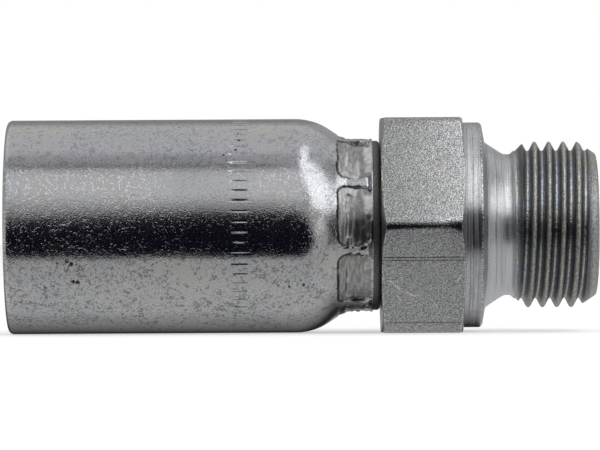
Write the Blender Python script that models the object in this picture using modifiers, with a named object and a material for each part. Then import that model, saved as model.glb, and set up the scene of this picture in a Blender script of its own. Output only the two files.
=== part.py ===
"""A steel hose fitting: a ferrule staked onto a one-piece stem with a hexagon and a male pipe thread.

Both pieces are turned about the fitting's own axis. Heights run along it from the hose mouth, at 0,
to the end of the thread. The axis is then laid along world +X, with the fitting resting on z = 0.
"""

import math

import bmesh
import bpy

# All sizes are in metres. The hexagon gives the width of the whole fitting.
HEX_ACROSS_FLATS = 0.027
HEX_LENGTH = 0.0104
HEX_CHAMFER_ANGLE = math.radians(15)
HEX_FACE_INSET = 0.0001
HEX_EDGE_ROUND = 0.0005

# Ferrule
SHELL_BODY_LENGTH = 0.0363
SHELL_WALL = 0.0022
MOUTH_ROUND = 0.0007
MOUTH_CHAMFER = 0.0007
SHOULDER_BEND_RADIUS = 0.0077
SHOULDER_ANGLE = math.radians(34)
NECK_DROP = 0.0023
NECK_WALL = 0.0023
NECK_LENGTH = 0.0039
LIP_STEP = 0.0005
LIP_LENGTH = 0.00075
LIP_CHAMFER = 0.0003
TOOTH_COUNT = 7
TOOTH_DEPTH = 0.0006
TOOTH_FACE = 0.0004

# Stake marks pressed into the neck
PAD_COUNT = 8
PAD_TURN = math.radians(-6.4)
PAD_SPAN = math.radians(41)
PAD_DEPTH = 0.0004
PAD_EDGE = 0.0006
PAD_SEGMENTS = 8

# Stem: bore, hose tail and collar
BORE_RADIUS = 0.005
TAIL_WALL = 0.001
TAIL_INSET = 0.002
TAIL_TIP_TAPER = 0.0006
BARB_HEIGHT = 0.0006
BARB_COUNT = 8
BARB_BACK = 0.0003
COLLAR_HEIGHT = 0.0011
COLLAR_LENGTH = 0.0018

# Stem: flange, taper, relief and thread
FLANGE_INSET = 0.00055
FLANGE_LENGTH = 0.0024
FLANGE_CORNER = 0.00045
FLANGE_FACE_RISE = 0.0004
TAPER_HEIGHT = 0.0015
TAPER_LENGTH = 0.0025
RELIEF_DEPTH = 0.00042
RELIEF_LENGTH = 0.0007
THREAD_LENGTH = 0.01085
THREAD_MAJOR_RADIUS = 0.0104775
THREAD_PITCH = 0.001814
THREAD_FLANK_ANGLE = math.radians(27.5)
THREAD_FIRST_CREST = 0.0018
THREAD_LEAD_IN = 0.0014
THREAD_END_ANGLE = math.radians(33)
THREAD_END_ROUND = 0.00025
THREAD_END_RIM = 0.00097
SEAT_HALF_ANGLE = math.radians(30)
# 1 is a right-hand thread, -1 a left-hand one
THREAD_HAND = -1

# Air between the two pieces where they bear on each other
CLEARANCE = 0.0003

# A cutter runs this far past what it cuts, and a joined piece this far into its neighbour
OVERRUN = 0.001
EMBED = 0.0002

SHELL_SEGMENTS = 64
STEM_SEGMENTS = 48
GAUGE_SEGMENTS = 96
THREAD_SEGMENTS = 32

# Ferrule sizes that follow. It is as wide as the hexagon, so the fitting lies level.
SHELL_RADIUS = HEX_ACROSS_FLATS / 2
NECK_RADIUS = SHELL_RADIUS - NECK_DROP
SHOULDER_BEND_DROP = SHOULDER_BEND_RADIUS * (1 - math.cos(SHOULDER_ANGLE))
SHOULDER_BEND_TOP = SHELL_BODY_LENGTH + SHOULDER_BEND_RADIUS * math.sin(SHOULDER_ANGLE)
SHOULDER_CONE_DROP = SHELL_RADIUS - SHOULDER_BEND_DROP - NECK_RADIUS
NECK_START = SHOULDER_BEND_TOP + SHOULDER_CONE_DROP / math.tan(SHOULDER_ANGLE)
NECK_END = NECK_START + NECK_LENGTH
SHELL_LENGTH = NECK_END + LIP_LENGTH
TOOTH_RADIUS = SHELL_RADIUS - SHELL_WALL
NECK_BORE = NECK_RADIUS - NECK_WALL
LIP_RADIUS = NECK_RADIUS - LIP_STEP


def shoulder_inside(offset, radius):
    """Height at which the shoulder's cone, moved inwards by offset, has the given radius."""
    cone_radius = NECK_RADIUS - offset * math.cos(SHOULDER_ANGLE)
    cone_height = NECK_START - offset * math.sin(SHOULDER_ANGLE)
    return cone_height - (radius - cone_radius) / math.tan(SHOULDER_ANGLE)


# Stem sizes that follow. Its collar bears on the inside of the ferrule's shoulder.
STAKED_RADIUS = NECK_BORE - CLEARANCE
COLLAR_RADIUS = STAKED_RADIUS + COLLAR_HEIGHT
STAKED_START = shoulder_inside(SHELL_WALL + CLEARANCE, STAKED_RADIUS)
COLLAR_TOP = shoulder_inside(SHELL_WALL + CLEARANCE, COLLAR_RADIUS)
COLLAR_BOTTOM = COLLAR_TOP - COLLAR_LENGTH
TAIL_RADIUS = BORE_RADIUS + TAIL_WALL
TAIL_END = COLLAR_BOTTOM - (COLLAR_RADIUS - TAIL_RADIUS) / 2
HEX_START = SHELL_LENGTH + CLEARANCE
HEX_END = HEX_START + HEX_LENGTH
FLANGE_END = HEX_END + FLANGE_LENGTH
TAPER_START = FLANGE_END + FLANGE_FACE_RISE
TAPER_END = TAPER_START + TAPER_LENGTH
RELIEF_END = TAPER_END + RELIEF_LENGTH
FITTING_LENGTH = RELIEF_END + THREAD_LENGTH
FLANGE_RADIUS = HEX_ACROSS_FLATS / 2 - FLANGE_INSET

# Pipe thread form: a sharp triangle with a sixth of its height cut off at the crest and at the root
THREAD_SHARP_HEIGHT = THREAD_PITCH / (2 * math.tan(THREAD_FLANK_ANGLE))
THREAD_DEPTH = THREAD_SHARP_HEIGHT * 2 / 3
THREAD_ROOT_RADIUS = THREAD_MAJOR_RADIUS - THREAD_DEPTH
RELIEF_RADIUS = THREAD_ROOT_RADIUS - RELIEF_DEPTH
THREAD_BASE = RELIEF_END + RELIEF_DEPTH
TAPER_RADIUS = RELIEF_RADIUS + TAPER_HEIGHT
THREAD_LIP_RADIUS = THREAD_ROOT_RADIUS - THREAD_END_ROUND
THREAD_FACE_RADIUS = THREAD_LIP_RADIUS - 2 * THREAD_END_ROUND
SEAT_RADIUS = THREAD_FACE_RADIUS - THREAD_END_RIM


def clear_scene():
    for obj in list(bpy.data.objects):
        bpy.data.objects.remove(obj, do_unlink=True)


def new_collection(name):
    collection = bpy.data.collections.new(name)
    bpy.context.scene.collection.children.link(collection)
    return collection


def zinc_plate(name, color, roughness):
    material = bpy.data.materials.new(name)
    material.use_nodes = True
    shader = material.node_tree.nodes["Principled BSDF"]
    shader.inputs["Base Color"].default_value = (*color, 1)
    shader.inputs["Metallic"].default_value = 1
    shader.inputs["Roughness"].default_value = roughness
    return material


def arc(center, radius, start, end, steps):
    """Points (radius, height) along an arc whose angles are measured from the outward direction."""
    angles = [start + (end - start) * step / steps for step in range(steps + 1)]
    return [
        (center[0] + radius * math.cos(angle), center[1] + radius * math.sin(angle))
        for angle in angles
    ]


def add_object(name, mesh, collection, axis):
    obj = bpy.data.objects.new(name, mesh)
    obj.parent = axis
    collection.objects.link(obj)
    return obj


def add_guide(name, mesh, collection, axis):
    """A helper that cuts or is joined, and is not itself a piece."""
    obj = add_object(name, mesh, collection, axis)
    obj.hide_render = True
    obj.display_type = "WIRE"
    return obj


def profile_mesh(name, points, closed):
    """A line of (radius, height) points in the plane of the axis, outer side from top to bottom."""
    mesh = bpy.data.meshes.new(name)
    edges = [(index, index + 1) for index in range(len(points) - 1)]
    if closed:
        edges.append((len(points) - 1, 0))
    mesh.from_pydata([(radius, 0, height) for radius, height in points], edges, [])
    return mesh


def turn(obj, segments):
    screw = obj.modifiers.new("turned", "SCREW")
    screw.axis = "Z"
    screw.steps = segments
    screw.render_steps = segments
    screw.use_merge_vertices = True
    screw.merge_threshold = 0.00001
    screw.use_smooth_shade = True
    return screw


def combine(obj, operation, other, solver="EXACT"):
    boolean = obj.modifiers.new(other.name, "BOOLEAN")
    boolean.operation = operation
    boolean.solver = solver
    boolean.object = other


def evaluated_mesh(obj):
    bpy.context.view_layer.update()
    graph = bpy.context.evaluated_depsgraph_get()
    return bpy.data.meshes.new_from_object(obj.evaluated_get(graph))


def finish_piece(obj, material):
    """Turns the modifiers into a plain mesh, smooth on its round faces and sharp at its corners."""
    mesh = evaluated_mesh(obj)
    obj.modifiers.clear()
    obj.data = mesh
    obj.data.name = obj.name
    obj.data.materials.clear()
    obj.data.materials.append(material)
    obj.data.shade_smooth()
    obj.data.set_sharp_from_angle(angle=math.radians(30))


def ferrule_outline():
    bend_center = (SHELL_RADIUS - SHOULDER_BEND_RADIUS, SHELL_BODY_LENGTH)
    mouth_center = (SHELL_RADIUS - MOUTH_ROUND, MOUTH_ROUND)
    outside = [
        (LIP_RADIUS - LIP_CHAMFER, SHELL_LENGTH),
        (LIP_RADIUS, SHELL_LENGTH - LIP_CHAMFER),
        (LIP_RADIUS, NECK_END),
        (NECK_RADIUS, NECK_END),
        (NECK_RADIUS, NECK_START),
        *arc(bend_center, SHOULDER_BEND_RADIUS, SHOULDER_ANGLE, 0, 5),
        *arc(mouth_center, MOUTH_ROUND, 0, -math.pi / 2, 3),
    ]
    inside = [(TOOTH_RADIUS + MOUTH_CHAMFER, 0), (TOOTH_RADIUS, MOUTH_CHAMFER)]
    tooth_pitch = (TAIL_END - MOUTH_CHAMFER) / TOOTH_COUNT
    for tooth in range(TOOTH_COUNT):
        crest = MOUTH_CHAMFER + tooth * tooth_pitch
        inside.append((TOOTH_RADIUS + TOOTH_DEPTH, crest + TOOTH_FACE))
        inside.append((TOOTH_RADIUS, crest + tooth_pitch))
    inside += [
        (TOOTH_RADIUS, shoulder_inside(SHELL_WALL, TOOTH_RADIUS)),
        (NECK_BORE, shoulder_inside(SHELL_WALL, NECK_BORE)),
        (NECK_BORE, SHELL_LENGTH - LIP_CHAMFER),
        (NECK_BORE + LIP_CHAMFER, SHELL_LENGTH),
    ]
    return outside + inside


def stake_cutter(name, collection, axis):
    """The space that one jaw of the staking die takes from the neck, turned from the X direction."""
    pad_radius = NECK_RADIUS - PAD_DEPTH
    wall_top = shoulder_inside(0, NECK_RADIUS + PAD_DEPTH)
    outline = [
        (NECK_RADIUS + OVERRUN, NECK_END + CLEARANCE),
        (NECK_RADIUS + OVERRUN, wall_top - PAD_EDGE / 2),
        (NECK_RADIUS + PAD_DEPTH / 2, wall_top),
        (pad_radius, NECK_START + PAD_EDGE),
        (pad_radius, NECK_END + CLEARANCE),
    ]
    mesh = profile_mesh(name, outline, closed=True)
    obj = add_guide(name, mesh, collection, axis)
    screw = turn(obj, PAD_SEGMENTS)
    screw.angle = PAD_SPAN
    obj.data = close_ends(evaluated_mesh(obj))
    obj.modifiers.clear()
    return obj


def close_ends(mesh):
    """Fills a swept outline's two open ends, and makes its twisted faces flat triangles facing out."""
    shape = bmesh.new()
    shape.from_mesh(mesh)
    bmesh.ops.holes_fill(shape, edges=[edge for edge in shape.edges if edge.is_boundary])
    bmesh.ops.triangulate(shape, faces=shape.faces)
    bmesh.ops.recalc_face_normals(shape, faces=shape.faces)
    shape.to_mesh(mesh)
    shape.free()
    return mesh


def make_ferrule(parts, cutters, axis):
    outline = profile_mesh("crimp_ferrule", ferrule_outline(), closed=True)
    ferrule = add_object("crimp_ferrule", outline, parts, axis)
    turn(ferrule, SHELL_SEGMENTS)
    first = stake_cutter("stake_0", cutters, axis)
    for index in range(PAD_COUNT):
        jaw = first if index == 0 else add_guide(f"stake_{index}", first.data, cutters, axis)
        jaw.rotation_euler.z = PAD_TURN - PAD_SPAN / 2 + index * 2 * math.pi / PAD_COUNT
        combine(ferrule, "DIFFERENCE", jaw)
    finish_piece(ferrule, zinc_plate("ferrule_zinc", (0.60, 0.61, 0.62), 0.28))


def tail_outline():
    """The barbed tail, from the collar down to the tip. Each barb slopes up from the tip's side."""
    tip = TAIL_INSET + TAIL_TIP_TAPER
    barb_pitch = (TAIL_END - tip) / BARB_COUNT
    points = []
    for barb in range(BARB_COUNT):
        back = TAIL_END - barb * barb_pitch
        points.append((TAIL_RADIUS, back))
        points.append((TAIL_RADIUS + BARB_HEIGHT, back - BARB_BACK))
    points += [
        (TAIL_RADIUS, tip),
        (TAIL_RADIUS - TAIL_TIP_TAPER, TAIL_INSET),
        (0, TAIL_INSET),
    ]
    return points


def stem_outline():
    """The stem without its bore, hexagon and thread ridge, longer than the thread by the overrun."""
    flange_corner = (FLANGE_RADIUS - FLANGE_CORNER, FLANGE_END - FLANGE_CORNER)
    return [
        (0, FITTING_LENGTH + OVERRUN),
        (THREAD_ROOT_RADIUS, FITTING_LENGTH + OVERRUN),
        (THREAD_ROOT_RADIUS, THREAD_BASE),
        (RELIEF_RADIUS, RELIEF_END),
        (RELIEF_RADIUS, TAPER_END),
        (TAPER_RADIUS, TAPER_START),
        *arc(flange_corner, FLANGE_CORNER, math.pi / 2, 0, 3),
        (FLANGE_RADIUS, HEX_START + OVERRUN),
        (STAKED_RADIUS, HEX_START + OVERRUN),
        (STAKED_RADIUS, STAKED_START),
        (COLLAR_RADIUS, COLLAR_TOP),
        (COLLAR_RADIUS, COLLAR_BOTTOM),
        *tail_outline(),
    ]


def hexagon(collection, axis):
    """The hexagon, with eased edges and its corners chamfered by a turned gauge."""
    shape = bmesh.new()
    corner_radius = HEX_ACROSS_FLATS / math.sqrt(3)
    bmesh.ops.create_cone(
        shape,
        cap_ends=True,
        segments=6,
        radius1=corner_radius,
        radius2=corner_radius,
        depth=HEX_LENGTH,
    )
    upright = [edge for edge in shape.edges if edge.verts[0].co.z * edge.verts[1].co.z < 0]
    bmesh.ops.bevel(shape, geom=upright, offset=HEX_EDGE_ROUND, segments=2, profile=0.5, affect="EDGES")
    mesh = bpy.data.meshes.new("hexagon")
    shape.to_mesh(mesh)
    shape.free()
    obj = add_guide("hexagon", mesh, collection, axis)
    obj.location.z = (HEX_START + HEX_END) / 2

    face_radius = HEX_ACROSS_FLATS / 2 - HEX_FACE_INSET
    gauge_radius = corner_radius + OVERRUN
    slope = (gauge_radius - face_radius) * math.tan(HEX_CHAMFER_ANGLE)
    gauge_outline = [
        (0, HEX_END),
        (face_radius, HEX_END),
        (gauge_radius, HEX_END - slope),
        (gauge_radius, HEX_START + slope),
        (face_radius, HEX_START),
        (0, HEX_START),
    ]
    gauge_mesh = profile_mesh("chamfer_gauge", gauge_outline, closed=False)
    gauge = add_guide("chamfer_gauge", gauge_mesh, collection, axis)
    turn(gauge, GAUGE_SEGMENTS)
    combine(obj, "INTERSECT", gauge)
    return obj


def thread_ridge(collection, axis):
    """One long helical ridge. It starts under the relief's end, where a cone cuts its lead-in."""
    crest = THREAD_PITCH / 2 - (THREAD_SHARP_HEIGHT * 5 / 6) * math.tan(THREAD_FLANK_ANGLE)
    base = crest + (THREAD_DEPTH + EMBED) * math.tan(THREAD_FLANK_ANGLE)
    start = THREAD_BASE + THREAD_FIRST_CREST - 2 * THREAD_PITCH
    turns = math.ceil((FITTING_LENGTH - start) / THREAD_PITCH)
    outline = [
        (THREAD_MAJOR_RADIUS, start + crest),
        (THREAD_MAJOR_RADIUS, start - crest),
        (THREAD_ROOT_RADIUS - EMBED, start - base),
        (THREAD_ROOT_RADIUS - EMBED, start + base),
    ]
    ridge_mesh = profile_mesh("thread_ridge", outline, closed=True)
    ridge = add_guide("thread_ridge", ridge_mesh, collection, axis)
    screw = turn(ridge, THREAD_SEGMENTS)
    screw.use_merge_vertices = False
    screw.angle = THREAD_HAND * 2 * math.pi
    screw.screw_offset = THREAD_PITCH
    screw.iterations = turns
    ridge.data = close_ends(evaluated_mesh(ridge))
    ridge.modifiers.clear()

    # A quarter of a facet keeps the ridge's edges off the stem's, and the ridge stays on its helix
    facet_share = 1 / STEM_SEGMENTS / 4
    ridge.rotation_euler.z = facet_share * 2 * math.pi
    ridge.location.z = facet_share * THREAD_PITCH * THREAD_HAND

    inner = THREAD_ROOT_RADIUS - 2 * EMBED
    outer = THREAD_MAJOR_RADIUS + OVERRUN
    floor = start - THREAD_PITCH
    lead_in = THREAD_BASE + THREAD_LEAD_IN - (THREAD_MAJOR_RADIUS - inner)
    cone_outline = [
        (outer, lead_in + outer - inner),
        (outer, floor),
        (inner, floor),
        (inner, lead_in),
    ]
    cone_mesh = profile_mesh("lead_in_cone", cone_outline, closed=True)
    cone = add_guide("lead_in_cone", cone_mesh, collection, axis)
    turn(cone, STEM_SEGMENTS)
    cone.rotation_euler.z = math.pi / STEM_SEGMENTS
    combine(ridge, "DIFFERENCE", cone)
    return ridge


def end_cutter(collection, axis):
    """Faces the thread's end square and cuts its chamfer, from above the ridge's own end.

    Like the lead-in cone, it is turned half a facet, so that its edges don't fall on the stem's.
    """
    outer = THREAD_MAJOR_RADIUS + OVERRUN
    top = FITTING_LENGTH + 2 * THREAD_PITCH
    chamfer_drop = (outer - THREAD_LIP_RADIUS) / math.tan(THREAD_END_ANGLE)
    outline = [
        (0, top),
        (outer, top),
        (outer, FITTING_LENGTH - THREAD_END_ROUND - chamfer_drop),
        (THREAD_LIP_RADIUS, FITTING_LENGTH - THREAD_END_ROUND),
        (THREAD_FACE_RADIUS, FITTING_LENGTH),
        (0, FITTING_LENGTH),
    ]
    cutter_mesh = profile_mesh("end_cutter", outline, closed=False)
    cutter = add_guide("end_cutter", cutter_mesh, collection, axis)
    turn(cutter, STEM_SEGMENTS)
    cutter.rotation_euler.z = math.pi / STEM_SEGMENTS
    return cutter


def bore_cutter(collection, axis):
    """The through bore, opening into a conical seat at the thread's end."""
    seat_slope = math.tan(SEAT_HALF_ANGLE)
    outline = [
        (0, FITTING_LENGTH + OVERRUN),
        (SEAT_RADIUS + OVERRUN * seat_slope, FITTING_LENGTH + OVERRUN),
        (BORE_RADIUS, FITTING_LENGTH - (SEAT_RADIUS - BORE_RADIUS) / seat_slope),
        (BORE_RADIUS, TAIL_INSET - OVERRUN),
        (0, TAIL_INSET - OVERRUN),
    ]
    cutter_mesh = profile_mesh("bore_cutter", outline, closed=False)
    cutter = add_guide("bore_cutter", cutter_mesh, collection, axis)
    turn(cutter, STEM_SEGMENTS)
    return cutter


def make_stem(parts, cutters, axis):
    outline = profile_mesh("threaded_stem", stem_outline(), closed=False)
    stem = add_object("threaded_stem", outline, parts, axis)
    turn(stem, STEM_SEGMENTS)

    # At some sizes the exact solver leaves gaps where the ridge's twisted faces meet the stem's
    combine(stem, "UNION", hexagon(cutters, axis), solver="MANIFOLD")
    combine(stem, "UNION", thread_ridge(cutters, axis), solver="MANIFOLD")
    combine(stem, "DIFFERENCE", end_cutter(cutters, axis), solver="MANIFOLD")
    combine(stem, "DIFFERENCE", bore_cutter(cutters, axis), solver="MANIFOLD")
    finish_piece(stem, zinc_plate("stem_zinc", (0.56, 0.57, 0.58), 0.36))


def main():
    clear_scene()
    parts = new_collection("hose_fitting")
    cutters = new_collection("cutters")
    axis = bpy.data.objects.new("fitting_axis", None)
    axis.location = (-FITTING_LENGTH / 2, 0, HEX_ACROSS_FLATS / 2)
    axis.rotation_euler = (0, math.pi / 2, 0)
    parts.objects.link(axis)
    make_ferrule(parts, cutters, axis)
    make_stem(parts, cutters, axis)


main()
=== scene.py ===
"""A steel crimp fitting for a hose, dressed for a picture: staked ferrule, hexagon stem, thread.

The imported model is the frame. Sizes in the sections are in millimetres, along the axis from the
hose mouth and out from the axis, and each mesh is brought into the frame's metres as it is made.
"""

import math

import bmesh
import bpy
import numpy as np
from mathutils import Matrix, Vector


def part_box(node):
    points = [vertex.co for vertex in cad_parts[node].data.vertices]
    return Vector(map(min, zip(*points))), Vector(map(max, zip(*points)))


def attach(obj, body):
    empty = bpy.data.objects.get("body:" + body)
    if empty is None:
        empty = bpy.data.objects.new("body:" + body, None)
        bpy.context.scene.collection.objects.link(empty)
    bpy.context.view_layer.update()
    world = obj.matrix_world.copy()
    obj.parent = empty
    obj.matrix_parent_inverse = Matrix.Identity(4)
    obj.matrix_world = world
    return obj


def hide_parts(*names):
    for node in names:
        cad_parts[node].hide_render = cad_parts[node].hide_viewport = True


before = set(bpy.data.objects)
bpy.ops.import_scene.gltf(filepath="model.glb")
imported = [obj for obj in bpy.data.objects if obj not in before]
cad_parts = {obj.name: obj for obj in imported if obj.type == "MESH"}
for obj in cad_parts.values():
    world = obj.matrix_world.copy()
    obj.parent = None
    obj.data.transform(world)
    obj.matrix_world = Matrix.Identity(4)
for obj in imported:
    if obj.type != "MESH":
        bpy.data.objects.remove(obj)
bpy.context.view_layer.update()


# Camera. A long lens, level with the fitting's axis and square to it, as the photo was taken. The
# picture is 600 by 450, and the fitting fills its width, with the thread's end a hair higher.
CAMERA_DISTANCE = 0.612
CAMERA_SIDE = -0.00025
CAMERA_HEIGHT = 0.0136
CAMERA_LENS = 290.3
CAMERA_SENSOR = 36
CAMERA_ROLL = math.radians(0.33)


def new_object(name, data):
    thing = bpy.data.objects.new(name, data)
    bpy.context.scene.collection.objects.link(thing)
    return thing


camera_data = bpy.data.cameras.new("camera")
camera_data.lens = CAMERA_LENS
camera_data.sensor_width = CAMERA_SENSOR
camera = new_object("camera", camera_data)
camera.location = (CAMERA_SIDE, -CAMERA_DISTANCE, CAMERA_HEIGHT)
camera.rotation_euler = (math.pi / 2, CAMERA_ROLL, 0)
bpy.context.scene.camera = camera


# Ferrule. A turned steel tube that is crimped over the hose, zinc plated. Its neck is staked onto
# the stem by eight jaws, which leave dished pads with crumpled burrs between them.
SHELL_RADIUS = 13.5
SHELL_BODY_END = 36.3
MOUTH_ROUND = 0.7
BEND_RADIUS = 7.7
BEND_ANGLE = math.radians(34)
NECK_RADIUS = 11.2
NECK_START = 42.065
NECK_END = 45.965
LIP_RADIUS = 10.7
FERRULE_END = 46.91
NECK_BORE = 8.9
TOOTH_RADIUS = 11.3
TOOTH_DEPTH = 0.6
TOOTH_FACE = 0.4
TOOTH_COUNT = 7
TOOTH_START = 0.7
TOOTH_END = 36.17
PAD_COUNT = 8
PAD_TURN = -6.4
PAD_HALF_WIDTH = 3.85
PAD_START = 41.5
PAD_END = 45.85
PAD_CORNER = 1.1
TICK_COUNT = 64
TICK_TURN = -2.32
TICK_HALF_WIDTH = 0.13
TICK_DEPTH = 0.06
TICK_RAMP = 0.07
TICK_START = 28.35
TICK_END = 30.45
TICK_INNER_RADIUS = 13.2
CLOSE_COLUMNS = 0.36
WIDE_COLUMNS = 0.9
WIDE_REACH = 17.6
SHARP_ANGLE = math.radians(32)
WELD_DISTANCE = 0.000002
MM = 0.001

frame_low, frame_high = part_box("crimp_ferrule")
mouth_x = frame_low.x
axis_z = (frame_low.z + frame_high.z) / 2


def smooth(low, high, value):
    """A soft step from 0 at low to 1 at high. Low may be the larger."""
    share = np.clip((value - low) / (high - low), 0, 1)
    return share * share * (3 - 2 * share)


def wander(angles, heights, seed, turns, waves, terms=7):
    """Smooth uneven waves over a turned surface, about -1 to 1, that close on themselves."""
    random = np.random.default_rng(seed)
    total = np.zeros(np.broadcast(angles, heights).shape)
    for _ in range(terms):
        around = random.integers(turns[0], turns[1] + 1)
        along = random.uniform(*waves)
        phase = random.uniform(0, 2 * math.pi)
        total = total + np.sin(around * angles + along * heights + phase)
    return total / math.sqrt(terms)


def arc(center, radius, start, end, steps):
    """Points (radius, height) on an arc, with angles in degrees from the outward direction."""
    turns = np.radians(np.linspace(start, end, steps + 1))
    return [(center[0] + radius * math.cos(t), center[1] + radius * math.sin(t)) for t in turns]


def turned_mesh(name, angles, rows, open_after=()):
    """A ring-shaped skin over rows of (radius, height, angles), each one number or one a column.

    Angles start below the axis and run to the back. No faces follow the rows listed in open_after.
    """
    columns = len(angles)
    points = np.zeros((len(rows), columns, 3))
    for index, row in enumerate(rows):
        radius, height = row[0], row[1]
        turn = row[2] if len(row) > 2 else angles
        points[index, :, 0] = height
        points[index, :, 1] = radius * np.sin(turn)
        points[index, :, 2] = -radius * np.cos(turn)
    points = points.reshape(-1, 3) * MM + (mouth_x, 0, axis_z)
    faces = []
    for row in range(len(rows)):
        if row in open_after:
            continue
        here = row * columns
        above = (row + 1) % len(rows) * columns
        for column in range(columns):
            beside = (column + 1) % columns
            faces.append((here + column, above + column, above + beside, here + beside))
    mesh = bpy.data.meshes.new(name)
    mesh.from_pydata(points.tolist(), [], faces)
    return mesh


def mark(mesh, name, values):
    """Keeps one value a point under a name that the material reads."""
    mask = mesh.attributes.new(name, "FLOAT", "POINT")
    mask.data.foreach_set("value", np.asarray(values, dtype=np.float32).ravel())


def face_outwards(mesh):
    shape = bmesh.new()
    shape.from_mesh(mesh)
    bmesh.ops.remove_doubles(shape, verts=shape.verts, dist=WELD_DISTANCE)
    bmesh.ops.recalc_face_normals(shape, faces=shape.faces)
    shape.to_mesh(mesh)
    shape.free()
    mesh.shade_smooth()
    mesh.set_sharp_from_angle(angle=SHARP_ANGLE)


# Columns of the skin: even ones, three on each tick mark, and close ones where two pads meet
sector = 360 / PAD_COUNT
tick_pitch = 360 / TICK_COUNT
tick_edge = math.degrees(TICK_HALF_WIDTH / SHELL_RADIUS)
first_tick = (TICK_TURN - PAD_TURN + sector / 2) % tick_pitch - sector / 2
ticks = np.arange(first_tick, sector / 2, tick_pitch)
tick_columns = (ticks[:, None] + np.array([-tick_edge, 0, tick_edge])).ravel()
even_columns = np.concatenate([
    np.arange(-sector / 2, -WIDE_REACH, CLOSE_COLUMNS),
    np.arange(-WIDE_REACH, WIDE_REACH, WIDE_COLUMNS),
    np.arange(WIDE_REACH, sector / 2, CLOSE_COLUMNS),
])
nearest = np.abs(even_columns[:, None] - tick_columns).min(axis=1)
sector_columns = np.sort(np.concatenate([even_columns[nearest > 0.2], tick_columns]))
columns = np.concatenate([sector_columns + PAD_TURN + sector * pad for pad in range(PAD_COUNT)])
shell_angles = np.radians(columns)
from_pad = np.tile(sector_columns, PAD_COUNT)


def bell(offset, width):
    """1 at no offset, fading to both sides over the width."""
    return np.exp(-((offset / width) ** 2))


def plain_neck(height):
    """Radius of the drawn-in neck before it is staked: the shoulder's cone, rounded into it."""
    cone = NECK_RADIUS + (NECK_START - height) * math.tan(BEND_ANGLE)
    gap = cone - NECK_RADIUS
    rounded = NECK_RADIUS + max(gap, 0) + max(0.6 - abs(gap), 0) ** 2 / 2.4
    return rounded - 0.27 * smooth(45.2, 46.0, height)


def staked_neck(height):
    """Radius at each column, with the pads pressed in and the metal they pushed up between them."""
    plain = plain_neck(height)
    around = np.radians(from_pad) * NECK_RADIUS
    across = np.abs(around) - (PAD_HALF_WIDTH - PAD_CORNER)
    along = abs(height - (PAD_START + PAD_END) / 2) - ((PAD_END - PAD_START) / 2 - PAD_CORNER)
    outside = np.hypot(np.maximum(across, 0), max(along, 0))
    edge = outside + np.minimum(np.maximum(across, along), 0) - PAD_CORNER
    edge = edge + 0.05 * wander(shell_angles, height, 3, (9, 40), (0.7, 2.5))
    edge = edge + 0.03 * wander(shell_angles, height, 31, (70, 150), (5, 14))
    pad = 10.73 + 0.0624 * (height - 44.5) ** 2 + 0.03 * (around / PAD_HALF_WIDTH) ** 2
    pad = pad + 0.011 * wander(shell_angles, height, 5, (10, 40), (0.6, 2.6))
    pad = pad + 0.020 * wander(shell_angles, height, 21, (2, 12), (4.5, 9))
    pad = pad + 0.13 * smooth(-1.3, -0.95, edge) * smooth(43.6, 43.0, height)
    inside = smooth(0.05, -0.22, edge)
    side = smooth(-0.6, 0.3, across) * smooth(41.7, 42.4, height) * smooth(46.0, 45.6, height)
    burr = bell(edge - 0.03, 0.12) * side
    crumple = 0.3 + 0.5 * wander(shell_angles, height, 8, (60, 130), (2.5, 8))
    fold = np.maximum(wander(shell_angles, height, 14, (30, 80), (2, 6)), 0) * side
    fold = fold * bell(edge - 0.02, 0.22)
    slanted = np.sin(2 * math.pi * (0.7 * shell_angles * NECK_RADIUS + height) / 0.62)
    burr = burr + 0.8 * slanted * bell(edge + 0.1, 0.2) * smooth(-0.5, -0.1, across) * side
    # painted shade: a dark line along the pads' edges, where their walls fall into shade
    crease_shade = bell(edge + 0.10, 0.15) * smooth(45.2, 44.6, height)
    crease_shade = crease_shade * (0.75 + 0.4 * wander(shell_angles, height, 40, (20, 60), (1, 5))).clip(0.3, 1)
    # painted highlights: pale bands near the pads' right ends and along the fillet at their left
    # ends
    rim_highlight = smooth(44.75, 45.1, height) * smooth(45.95, 45.75, height) * smooth(0.1, -0.3, across)
    gleam = bell(height - 42.72, 0.26) * smooth(-0.5, -0.9, edge)
    rim_highlight = rim_highlight + gleam * (0.7 + 0.5 * wander(shell_angles, height, 50, (4, 30), (2, 12))).clip(0, 1)
    radius = plain + (pad - plain) * inside + 0.10 * burr * crumple - 0.10 * fold
    return radius, inside, crease_shade, rim_highlight


# Rows of the skin, from the mouth's edge over the outside and back through the bore with its teeth
shell_rows = arc((SHELL_RADIUS - MOUTH_ROUND, MOUTH_ROUND), MOUTH_ROUND, -90, 0, 9)
body_rows = [2, 5, 9, 13, 17, 21, 25, 27.6]
body_rows += [TICK_START, TICK_START + TICK_RAMP, TICK_START + 0.7]
body_rows += [TICK_END - 0.7, TICK_END - TICK_RAMP, TICK_END, 31.2, 33, 35]
shell_rows += [(SHELL_RADIUS, height) for height in body_rows]
bend_center = (SHELL_RADIUS - BEND_RADIUS, SHELL_BODY_END)
bend_stop = math.degrees(math.asin((40.6 - SHELL_BODY_END) / BEND_RADIUS))
shell_rows += arc(bend_center, BEND_RADIUS, 0, bend_stop, 14)
neck_first = len(shell_rows)
neck_masks = []
neck_rows = [
    np.arange(40.8, 41.3, 0.13),
    np.arange(41.32, 41.95, 0.07),
    np.arange(42.0, 46.02, 0.125),
]
for height in np.concatenate(neck_rows):
    radius, *masks = staked_neck(height)
    shell_rows.append((radius, height))
    neck_masks.append(masks)
neck_last = len(shell_rows)
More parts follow.
